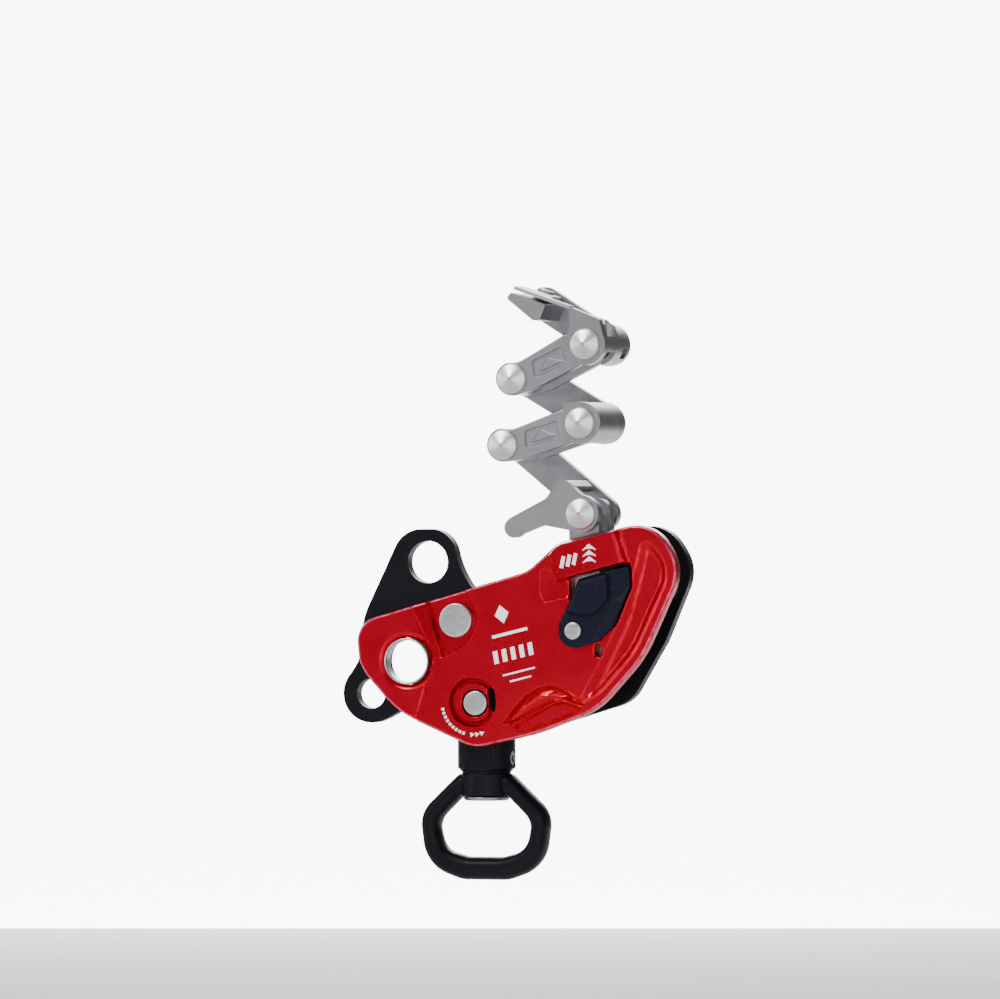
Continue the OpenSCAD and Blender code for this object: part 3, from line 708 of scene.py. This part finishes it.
def front_height(P):
    """How far the front plate's face stands out from FRONT, with the same pockets as the CAD's."""
    h = np.zeros(len(P))
    edge = depth(P, FRONT_OUTLINE)
    # the lower left lobe
    left = depth(P, LEFT_REGION)
    h -= 1.2 * ramp(left, -0.15, 0.5)
    h -= 0.5 * np.exp(-((left - 0.35) / 0.3) ** 2)
    # a band right of that line which falls away toward the pocket
    band = depth(P, BAND)
    t = np.clip(line_side(P, (4.4, -31.6), (-3.6, -13.6)) / -4.6, 0, 1)
    h -= 1.1 * t * ramp(band, -0.05, 0.5)
    # the rivet pocket
    pocket = depth(P, RIVET_POCKET)
    h = np.where(pocket > -0.2, np.minimum(h, -2.2 * ramp(pocket, -0.15, 0.6)), h)
    # eyelet countersink
    r = np.linalg.norm(P - np.array(EYELET), axis=1)
    h = np.minimum(h, np.where(r < 10.2, h - 0.9 * (1 - ramp(r, 7.7, 10.0)), h))
    # two-step recess of the lock stud
    r = np.linalg.norm(P - np.array(LOCK_AT), axis=1)
    h -= 1.3 * (1 - ramp(r, 7.7, 8.2)) + 1.3 * ramp(r, 6.5, 6.9) * (1 - ramp(r, 7.5, 7.9))
    rs = np.linalg.norm(P - np.array(SWIVEL), axis=1)
    h -= 1.5 * (1 - ramp(rs, 4.2, 4.8)) * (r < 6.8)
    # scoop at the foot
    a = depth(P, SCOOP)
    h -= 1.9 * ramp(a, -0.15, 1.5) * (1 - 0.5 * ramp(a, 1.6, 3.6))
    b = depth(P, SCOOP_LOW)
    h -= 1.1 * ramp(b, 0.1, 1.2)
    # dished right-hand flank
    d = depth(P, DISH)
    h -= 1.7 * ramp(d, -0.3, 3.2) * ramp(edge, 0.5, 6.0)
    # shallow steps left of the window
    s = depth(P, STEP_LEFT)
    h -= 0.5 * ramp(s, -0.2, 0.5)
    # the raised bridge over the catch window
    br = depth(P, BRIDGE)
    up = line_side(P, (43, 1.7), (46.9, -6.9))
    rt = line_side(P, (73, 0), (69.2, 11.4))
    lift = np.minimum(np.minimum(ramp(br, -0.1, 0.9), ramp(up, 0, 2.2)), ramp(rt, 0, 3.6))
    h = np.where(br > -0.1, h + (BRIDGE_TOP - h) * lift, h)
    return h


def front_plate():
    loops = [FRONT_OUTLINE, circle(EYELET, 7.85, 72), circle(SWIVEL, 4.12, 48), WINDOW, SLOT,
             LOCK_SLOT]
    features = [
        (LEFT_REGION, (-0.9, -0.5, -0.1, 0.25, 0.6)), (BAND, (0.02, 0.5)),
        (RIVET_POCKET, (-0.3, 0, 0.35, 0.8)), (circle(EYELET, 10, 80), (-0.4, 0, 0.7, 1.4)),
        (circle(LOCK_AT, 8.1, 90), (-0.1, 0.1, 0.35, 0.6, 1.15, 1.6)),
        (circle(SWIVEL, 4.5, 60), (-0.4, 0, 0.3)), (SCOOP, (-0.3, 0, 0.5, 1.0, 1.6)),
        (SCOOP_LOW, (-0.3, 0.1, 0.6, 1.2)), (DISH, (-0.3, 0, 1.2, 2.6)),
        (STEP_LEFT, (-0.2, 0, 0.4)), (BRIDGE, (-0.2, 0, 0.4, 0.9)),
        (FRONT_OUTLINE, (1.6, 2.4, 3.4))]
    relief("front_plate_face", loops, front_height, FRONT, BACK, RED, "front", r=0.85, rb=0.5,
           grid=1.0, step=1.0, features=features, replaces=("front_plate",), smooth=38)


def printed(name, shape, body="front", lift=0.03):
    """A patch of print lying on the front plate's face."""
    v, f, _ = cdt([resample(np.array(shape, float), 0.6)])
    y = FRONT - front_height(v) - lift
    verts = np.stack([v[:, 0], y, v[:, 1]], 1)
    faces = [tuple(int(i) for i in t) for t in f]
    finish_mesh(name, verts, faces, INK, body, 30)


def turned_shape(points, p, a):
    """The points turned by a degrees and moved to p."""
    c, s = cos(radians(a)), sin(radians(a))
    return [(p[0] + c * x - s * z, p[1] + s * x + c * z) for x, z in points]


def arc_band(p, r, width, a0, a1, n):
    """A curved stroke of radius r about p."""
    t = np.linspace(a0, a1, n)
    return [along(p, k, r + width / 2) for k in t] + [along(p, k, r - width / 2) for k in t[::-1]]


# ---------------------------------------------------------------- front plate and what it carries

front_plate()

CHEVRON = [(-2.352, -0.9975), (0, 0.945), (2.352, -0.9975), (2.128, -1.2075), (1.008, -0.651),
           (-1.008, -0.651), (-2.128, -1.2075)]
ARC_R = 10.6
PRINT_LEAN = 14
for k in range(3):
    printed("arrow_%d" % k, turned_shape(CHEVRON, (58.9 - 0.06 * k, 1.15 + 2.05 * k), 3))
for k in range(3):
    bar = [(-0.62, -2.0 + 0.1 * k), (0.62, -2.0), (0.62, 2.0), (-0.62, 2.0)]
    printed("bar_%d" % k, turned_shape(bar, (49.6 + 2.1 * k, 0.1 + 0.5 * k), -12))
for k in range(9):
    start = 190 + 7.6 * k
    printed("swivel_dash_%d" % k, arc_band(LOCK_AT, ARC_R, 0.95, start, start + 4.6, 6))
for k in range(3):
    turn = 9.5 * k
    head = [(-0.7, -0.8), (0.8, 0), (-0.7, 0.8)]
    printed("swivel_mark_%d" % k, turned_shape(head, along(LOCK_AT, 270 + turn, ARC_R), 4 + turn))
diamond = [(-2.5, 0), (0, -3.1), (2.5, 0), (0, 3.1)]
printed("diamond_mark", turned_shape(diamond, (27.6, -17.2), PRINT_LEAN))


def stroke(name, at, w, t):
    """A straight printed line of width w and thickness t, centred on at."""
    line = [(-w / 2, -t / 2), (w / 2, -t / 2), (w / 2, t / 2), (-w / 2, t / 2)]
    printed(name, turned_shape(line, at, PRINT_LEAN))


stroke("line_mark_0", (30.4, -23.4), 12.6, 1.0)
for k in range(5):
    block = [(-0.95, -2.1), (0.65, -2.1), (0.95, 2.1), (-0.65, 2.1)]
    at = along((25.6, -31.6), PRINT_LEAN, 3.1 * k)
    printed("block_mark_%d" % k, turned_shape(block, at, PRINT_LEAN))
stroke("line_mark_1", (33.6, -36.2), 11.4, 0.55)
stroke("line_mark_2", (34.2, -38.6), 7.6, 0.55)

# rolled lip in front, plain tube through the plate
lathe("eyelet_ring", EYELET, [
    (7.0, BACK - 0.02), (7.0, FRONT + 1.0), (7.05, FRONT + 0.72), (7.2, FRONT + 0.5),
    (7.42, FRONT + 0.42), (7.62, FRONT + 0.5), (7.74, FRONT + 0.72), (7.78, FRONT + 1.1),
    (7.78, BACK - 0.02), (7.0, BACK - 0.02)], RIVET, "front", 96, ("eyelet",))

lathe("lock_stud_head", SWIVEL, [
    (0, FRONT + 1.2), (3.2, FRONT + 1.2), (3.75, FRONT + 1.27), (4.0, FRONT + 1.45),
    (4.08, FRONT + 1.8), (4.08, FRONT + 2.95), (2.0, FRONT + 2.96), (2.0, BACK), (0, BACK)],
    RIVET, "front", 64, ("lock_stud",))
lathe("catch_rivet_head", CATCH, [
    (0, -10.58), (1.9, -10.58), (2.5, -10.5), (2.8, -10.25), (2.88, -9.9), (2.88, -9.66),
    (1.78, -9.64), (1.78, BACK), (0, BACK)], RIVET, "front", 56, ("catch_rivet",))
CHEEK_BACK = 20.24
lathe("pivot_rivet_head", PIVOT, [
    (0, FRONT - 0.2), (4.6, FRONT - 0.2), (5.2, FRONT - 0.12), (5.55, FRONT + 0.12),
    (5.68, FRONT + 0.5), (5.68, FRONT + 1.94), (3.98, FRONT + 1.97), (3.98, CHEEK_BACK),
    (5.6, CHEEK_BACK + 0.02), (5.68, CHEEK_BACK + 1.1), (5.4, CHEEK_BACK + 1.55),
    (4.6, CHEEK_BACK + 1.78), (0, CHEEK_BACK + 1.79)],
    RIVET, "frame", 80, ("pivot_rivet",))

CATCH_OUT = rounded([
    [54.8, -5.4, 1.2], [72, -0.95, 1.2], [72.6, -7.8, 3], [66.3, -21.6, 2.5], [61.6, -26, 3],
    [55, -28.2, 4], [47.7, -27.9, 5.2], [47.8, -20.5, 2.5], [50.4, -15.2, 3]], 10)
FLANK = np.array([
    (66.6, 0), (68.2, -6), (67.6, -12), (63.0, -19.5), (60.0, -24.5), (61.5, -30), (80, -20),
    (78, 4)])
PAD = rounded([
    [55, -5.7, 1], [65.4, -2.9, 2], [66.2, -12, 6], [60.6, -17.6, 4], [56, -18, 6],
    [50.3, -16.6, 1]], 8)
PAD_RISE = 1.6
CATCH_CROWN = 0.12
FLANK_DROP = 0.85


def catch_height(P):
    """The catch's raised thumb pad, its crowned face and the flank that slopes to the right."""
    pad = PAD_RISE * ramp(depth(P, PAD), -0.1, 1.1)
    crown = CATCH_CROWN * (ramp(depth(P, CATCH_OUT), 0.5, 2.5) - 1)
    return pad + crown - FLANK_DROP * np.clip(depth(P, FLANK) / 4.5, 0, 1)


relief("catch_thumb", [CATCH_OUT, circle(CATCH, 1.86, 40)], catch_height, -9.6, -8.0, PLASTIC,
       "catch_lever", r=0.5, rb=0.25, grid=0.8, step=0.8,
       features=[(PAD, (-0.2, 0, 0.4, 0.8, 1.2)), (FLANK, (-0.05, 0.05))],
       replaces=("catch",), rings=4)
HOOK = rounded([
    [55.6, -6.4, .8], [66, -3.6, 1.2], [67, -8, 2], [65.4, -14.8, 2], [55.6, -11.6, 1]], 6)
relief("catch_hook", [HOOK], flat, -8.05, -3.2, PLASTIC, "catch_lever", r=0.15, rb=0.4,
       grid=1.6, step=1.2, rings=3)

# ---------------------------------------------------------------- chain


def chain_pin(node, p, y_front, y_rear, body):
    """A pin with a coned head in front, centre-drilled, and a formed head behind."""
    f, b = y_front - 0.04, y_rear + 0.04
    lathe(node + "_turned", p, [
        (0, f - 2.16), (0.25, f - 2.18), (0.5, f - 2.3), (0.75, f - 2.24), (4.6, f - 0.86),
        (5.0, f - 0.68), (5.17, f - 0.45), (5.2, f - 0.2), (5.12, f), (2.48, f), (2.48, b),
        (4.4, b), (4.5, b + 0.2), (4.5, b + 0.9), (4.3, b + 1.25), (3.8, b + 1.4), (1.2, b + 1.4),
        (0.9, b + 1.1), (0, b + 1.0)], HEAD, body, 84, (node,), smooth=50)


chain_pin("base_pin", P1, -6.3, EAR_REAR, "cam_lever")
chain_pin("rung_2_left_pin", L2, RUNG_FRONT, EAR_REAR, "rung_2")
chain_pin("rung_2_right_pin", R2, EAR_FRONT, EAR_REAR, "rung_2")
chain_pin("rung_3_left_pin", L3, RUNG_FRONT, EAR_REAR, "rung_3")
chain_pin("rung_3_right_pin", R3, EAR_FRONT, EAR_REAR, "rung_3")

RUNG_LENGTH = 29
RUNG_OUT = rounded([
    [-5.6, 5.6, 5.55], [0.2, 5.6, .5], [4, 4.2, 6], [8.5, 4.6, 8], [22.6, 6.3, 1.5], [26, 4.9, 2],
    [29, 4.9, .5], [33.9, 4.9, 4.85], [33.9, -4.9, 4.85], [29, -4.9, .5], [26, -4.9, 2],
    [22.8, -5.4, 2], [6, -6.3, 8], [0, -5.6, .5], [-5.6, -5.6, 5.55]], 9)
RUNG_POCKET = rounded([[8.6, 2.8, .9], [20.6, 3.2, .9], [19.9, -3, .9], [7.3, -3.2, 1.2]], 6)
RUNG_ARROW = np.array([(10.0, -1.7), (18.4, -1.5), (14.0, 1.8)])
RUNG_THICK = 3.5


def rung_height(P):
    """A shallow pocket with a raised plain triangle in it."""
    h = -0.8 * ramp(depth(P, RUNG_POCKET), -0.1, 0.55)
    return h + 0.62 * ramp(depth(P, RUNG_ARROW), -0.3, 0.25)


for n, at, lean, body in ((2, L2, 14.5, "rung_2"), (3, L3, 23, "rung_3")):
    holes = [circle((0, 0), 2.5, 36), circle((RUNG_LENGTH, 0), 2.5, 36)]
    relief("rung_%d_face" % n, [RUNG_OUT] + holes, rung_height, RUNG_FRONT, RUNG_FRONT + RUNG_THICK,
           LINK, body, r=0.6, rb=0.4, grid=0.8, step=0.8,
           features=[(RUNG_POCKET, (-0.2, 0, 0.3, 0.6)), (RUNG_ARROW, (-0.3, 0, 0.3))],
           frame_at=(at, lean),
           replaces=("rung_%d_front_plate" % n,), rings=4)

# ---------------------------------------------------------------- swivel eye


def mirrored(c):
    """Corners of the right half, followed by those of the left half."""
    return c + [[-p[0], p[1], p[2]] for p in c[::-1]]


def reach(poly, c, t):
    """How far the polygon lies from c in the direction t."""
    d = np.array([cos(t), sin(t)])
    best = 0
    for a, b in zip(poly, np.roll(poly, -1, 0)):
        e = b - a
        den = d[0] * e[1] - d[1] * e[0]
        if abs(den) < 1e-9:
            continue
        w = a - c
        k = (w[0] * e[1] - w[1] * e[0]) / den
        m = (w[0] * d[1] - w[1] * d[0]) / den
        if k > 0 and -1e-9 <= m <= 1 + 1e-9:
            best = max(best, k)
    return best


EYE_MIDDLE = -88.5
EYE_HALF_THICK = 5
SQUARENESS = 2 / 2.5


def rounder(values):
    """Blends each value with its neighbours round the ring."""
    weights = np.array([1, 2, 3, 2, 1]) / 9.0
    return sum(w * np.roll(values, k - 2) for k, w in enumerate(weights))


def signed_power(v, e):
    return abs(v) ** e * (1 if v >= 0 else -1)


def swivel_ring():
    """The eye: a bar of rounded square section between an outer and an inner outline."""
    outer = rounded(mirrored([
        [9, -70.4, 1], [22.8, -83.6, 10], [20.6, -101.5, 13], [8, -106, 10]]), 12)
    inner = rounded(mirrored([
        [8.2, -78.2, 1], [16.6, -86.5, 6], [14.4, -96, 7], [6, -98.2, 6]]), 12)
    c = np.array([0, EYE_MIDDLE])
    n, m = 240, 36
    r_out = np.array([reach(outer, c, 2 * pi * i / n) for i in range(n)])
    r_in = np.array([reach(inner, c, 2 * pi * i / n) for i in range(n)])
    # rounder, but never outside the two outlines
    r_in, r_out = np.maximum(rounder(r_in), r_in), np.minimum(rounder(r_out), r_out)
    verts, faces = [], []
    for i in range(n):
        t = 2 * pi * i / n
        mid, half = (r_out[i] + r_in[i]) / 2, (r_out[i] - r_in[i]) / 2
        for j in range(m):
            s = 2 * pi * j / m
            u = mid + half * signed_power(cos(s), SQUARENESS)
            w = EYE_HALF_THICK * signed_power(sin(s), SQUARENESS)
            verts.append((SWIVEL[0] + u * cos(t), ROPE_Y + w, c[1] + u * sin(t)))
    for i in range(n):
        k = (i + 1) % n
        for j in range(m):
            up = (j + 1) % m
            faces.append((i * m + j, i * m + up, k * m + up, k * m + j))
    finish_mesh("swivel_eye_ring", verts, faces, BLACK, "eye", 60,
                ("swivel_eye",))


def swivel_boss():
    """The round boss at the top of the eye, which the bolt goes through."""
    prof = [(5.1, -70.45), (7.9, -70.45), (8.4, -70.6), (8.6, -71.0), (8.6, -77.0), (8.4, -77.7),
            (7.7, -78.15), (5.1, -78.15)]
    verts, faces = [], []
    n, m = 72, len(prof)
    for i in range(n):
        t = 2 * pi * i / n
        verts += [(SWIVEL[0] + r * cos(t), ROPE_Y + r * sin(t), z) for r, z in prof]
    for i in range(n):
        k = (i + 1) % n
        for j in range(m):
            up = (j + 1) % m
            faces.append((i * m + j, i * m + up, k * m + up, k * m + j))
    finish_mesh("swivel_eye_boss", verts, faces, BLACK, "eye", 40)


swivel_ring()
swivel_boss()

# ---------------------------------------------------------------- the rest, with softened edges

for node, mat, width in (
        ("attachment_plate", BLACK, 0.7), ("rear_cheek", BLACK, 0.8), ("anvil", LINK, 0.35),
        ("cam", LINK, 0.4), ("lower_link", LINK, 0.55), ("rung_2_rear_plate", LINK, 0.5),
        ("rung_3_rear_plate", LINK, 0.5), ("u_link", LINK, 0.55), ("top_link", LINK, 0.55),
        ("gate", LINK_PALE, 0.3), ("gate_rivet", RIVET, 0.2), ("gate_washer", STEEL, 0.1),
        ("swivel_block", BLACK, 0.35), ("swivel_bolt", STEEL, 0.3),
        ("swivel_lock_screw", STEEL, 0.25), ("swivel_washer", PLASTIC, 0.05),
        ("anvil_screw", STEEL, 0.15), ("cam_axle", RIVET, 0.35), ("swivel_axle", RIVET, 0.35),
        ("cheek_post", LINK, 0.3), ("cheek_post_screw", STEEL, 0.15), ("cam_bush", BRONZE, 0.1),
        ("base_spacer", STEEL, 0.15), ("rung_2_left_sleeve", STEEL, 0.4),
        ("rung_2_right_sleeve", STEEL, 0.4), ("rung_3_left_sleeve", STEEL, 0.4),
        ("rung_3_right_sleeve", STEEL, 0.4), ("catch_spring", SPRING, 0),
        ("cam_spring", SPRING, 0)):
    ob = refine(node, mat, width)

# ---------------------------------------------------------------- floor, light, camera


AZIMUTH = radians(18)
FLOOR_Z = -0.165
FLOOR_END = 0.9
SWEEP_R = 0.4


def paper(name, glow):
    """White studio paper, which may glow a little as if lit from behind."""
    g = Graph(name, Roughness=0.85)
    n = g.noise(40, 4, 0.6)
    g.set("Base Color", g.ramp(n, [(0.3, (0.86, 0.86, 0.86)), (0.7, (0.90, 0.90, 0.90))]))
    g.set("Normal", g.bump(g.noise(900, 3, 0.6), 0.05, 0.0002))
    g.bsdf.inputs["Emission Color"].default_value = (1, 1, 1, 1)
    g.bsdf.inputs["Emission Strength"].default_value = glow
    return g.mat


def sheet_of(name, prof, glow, wide):
    """A plain sheet behind or below the object, turned to face the camera."""
    verts = [(x, y, z) for x in (-wide, wide) for y, z in prof]
    m = len(prof)
    me = bpy.data.meshes.new(name)
    me.from_pydata(verts, [], [(i, i + 1, m + i + 1, m + i) for i in range(m - 1)])
    for p in me.polygons:
        p.use_smooth = True
    me.materials.append(paper(name + "_paper", glow))
    ob = bpy.data.objects.new(name, me)
    ob.rotation_euler = (0, 0, AZIMUTH)
    bpy.context.scene.collection.objects.link(ob)


sheet_of("floor", [(-2.6, FLOOR_Z), (FLOOR_END, FLOOR_Z)], 0.0, 1.6)
sweep = [(FLOOR_END + SWEEP_R * sin(radians(a)), FLOOR_Z + SWEEP_R * (1 - cos(radians(a))))
         for a in range(0, 91, 10)]
sheet_of("backdrop", sweep + [(FLOOR_END + SWEEP_R, 0.75)], 7.5, 0.5)


def area_light(name, at, aim, size, power, colour=(1, 1, 1), size_y=None):
    """A soft box at a place, aimed at another."""
    d = bpy.data.lights.new(name, "AREA")
    d.shape = "RECTANGLE"
    d.size = size
    d.size_y = size_y or size
    d.energy = power
    d.color = colour
    ob = bpy.data.objects.new(name, d)
    ob.location = at
    ob.rotation_euler = (Vector(aim) - Vector(at)).to_track_quat("-Z", "Y").to_euler()
    bpy.context.scene.collection.objects.link(ob)
    return ob


MIDDLE = (0.022, 0.006, -0.005)
area_light("key", (-0.42, -0.95, 0.95), MIDDLE, 0.30, 8.5, (1, 0.985, 0.98))
area_light("front", (-0.30, -0.42, 0.09), (-0.01, 0.0, -0.01), 0.10, 0.25)
area_light("side", (1.15, -0.75, 0.35), MIDDLE, 0.25, 2.6, size_y=0.8)
area_light("top", (0.05, -0.25, 1.05), MIDDLE, 0.45, 3.2)
area_light("stripe", (0.62, -1.35, 0.28), MIDDLE, 0.10, 1.6, size_y=0.5)
area_light("low", (0.2, -0.9, -0.14), MIDDLE, 0.8, 1.3, size_y=0.08)
area_light("left", (-0.95, -0.55, 0.25), MIDDLE, 0.10, 2.2, size_y=0.9)

world = bpy.data.worlds.new("studio")
world.use_nodes = True
world.node_tree.nodes["Background"].inputs["Color"].default_value = (0.93, 0.94, 0.96, 1)
world.node_tree.nodes["Background"].inputs["Strength"].default_value = 0.15
bpy.context.scene.world = world

DISTANCE = 3.0
target = Vector((0.02248, 0.0062, 0.02083))
cam = bpy.data.cameras.new("camera")
cam.lens = 324
cam.sensor_width = 36
cam.clip_end = 20
cam_ob = bpy.data.objects.new("camera", cam)
cam_ob.location = target + Vector((sin(AZIMUTH), -cos(AZIMUTH), 0)) * DISTANCE
cam_ob.rotation_euler = (target - cam_ob.location).to_track_quat("-Z", "Y").to_euler()
bpy.context.scene.collection.objects.link(cam_ob)
bpy.context.scene.camera = cam_ob

bpy.context.view_layer.update()
